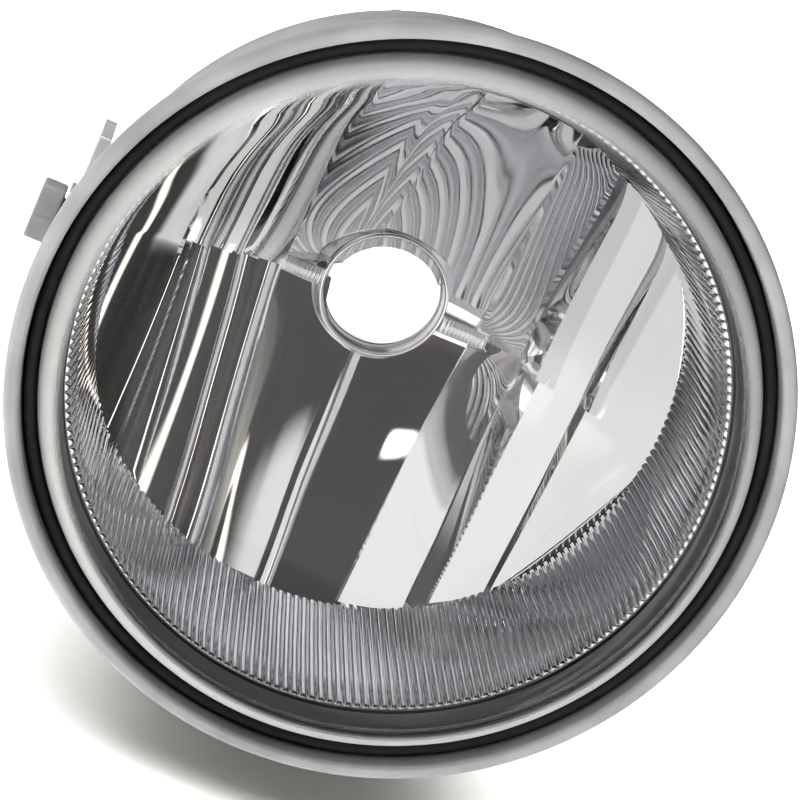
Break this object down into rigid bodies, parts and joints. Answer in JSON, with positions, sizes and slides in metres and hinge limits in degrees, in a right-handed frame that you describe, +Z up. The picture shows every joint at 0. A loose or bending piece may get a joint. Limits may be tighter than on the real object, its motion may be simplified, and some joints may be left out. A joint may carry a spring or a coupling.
{
  "type": "fog light",
  "caption": "Round automotive fog light: deep metallised reflector behind a clear lens, tilting in a steel yoke with a rear aiming screw and a twist-out bulb.",
  "frame": {"origin": "centre of the foot's underside, midway between its two bolt holes", "axes": "+Z up, away from the mounting surface; the lamp shines along -Y; +X is to the right when looking into the lens"},
  "size_m": [0.1048, 0.1249, 0.109],
  "materials": {
    "grey_plastic": "satin moulded grey",
    "clear_lens": "clear, polished",
    "black_sealant": "black sealing bead",
    "chromed_plastic": "vacuum metallised mirror",
    "chromed_steel": "bright",
    "galvanised_steel": "galvanised sheet",
    "zinc_steel": "bright zinc",
    "brass": "plain",
    "nylon": "natural",
    "black_nylon": "moulded black",
    "black_rubber": "matt",
    "filter_felt": "felt",
    "bulb_glass": "clear",
    "tungsten": "dull grey",
    "silicone": "matt red-brown"
  },
  "bodies": {
    "bracket": {"yoke_strap": "galvanised_steel", "foot_bracket": "galvanised_steel", "foot_rivet_left": "zinc_steel", "foot_rivet_right": "zinc_steel", "pivot_bush_left": "nylon", "pivot_bush_right": "nylon", "adjuster_grommet": "nylon"},
    "lamp": {"housing": "grey_plastic", "lens": "clear_lens", "lens_seal": "black_sealant", "fluted_bezel": "chromed_plastic", "reflector": "chromed_plastic", "bulb_shield": "chromed_steel", "shield_clip_left": "zinc_steel", "shield_clip_right": "zinc_steel", "vent_cap": "black_rubber", "vent_filter": "filter_felt", "adjuster_socket": "nylon", "pivot_nut_left": "brass", "pivot_nut_right": "brass", "pivot_washer_left": "zinc_steel", "pivot_washer_right": "zinc_steel", "pivot_bolt_left": "zinc_steel", "pivot_bolt_right": "zinc_steel"},
    "bulb": {"bulb_base": "black_nylon", "bulb_o_ring": "silicone", "bulb_collar": "zinc_steel", "bulb_glass": "bulb_glass", "filament": "tungsten", "lead_wire_left": "tungsten", "lead_wire_right": "tungsten", "terminal_left": "brass", "terminal_right": "brass"},
    "adjuster": {"adjuster_screw": "zinc_steel"},
    "nut": {"ball_nut": "black_nylon"}
  },
  "joints": [
    {"name": "aim_tilt", "type": "hinge", "parent": "bracket", "child": "lamp", "pos_m": [0, -0.021, 0.059], "axis": [1, 0, 0], "range_deg": [-3.5, 3.5]},
    {"name": "adjuster_turn", "type": "hinge", "parent": "bracket", "child": "adjuster", "pos_m": [0, 0.015, 0.0095], "axis": [0, 1, 0], "range_deg": [-560, 560]},
    {"name": "nut_travel", "type": "slide", "parent": "bracket", "child": "nut", "axis": [0, 1, 0], "range_m": [-0.0032, 0.0032]},
    {"name": "bulb_twist", "type": "hinge", "parent": "lamp", "child": "bulb", "pos_m": [0, 0.052, 0.059], "axis": [0, 1, 0], "range_deg": [0, 45]}
  ],
  "couplings": [
    {"joint": "adjuster_turn", "follows": "aim_tilt", "ratio": -155.51},
    {"joint": "nut_travel", "follows": "aim_tilt", "m_per_rad": 0.0495}
  ]
}
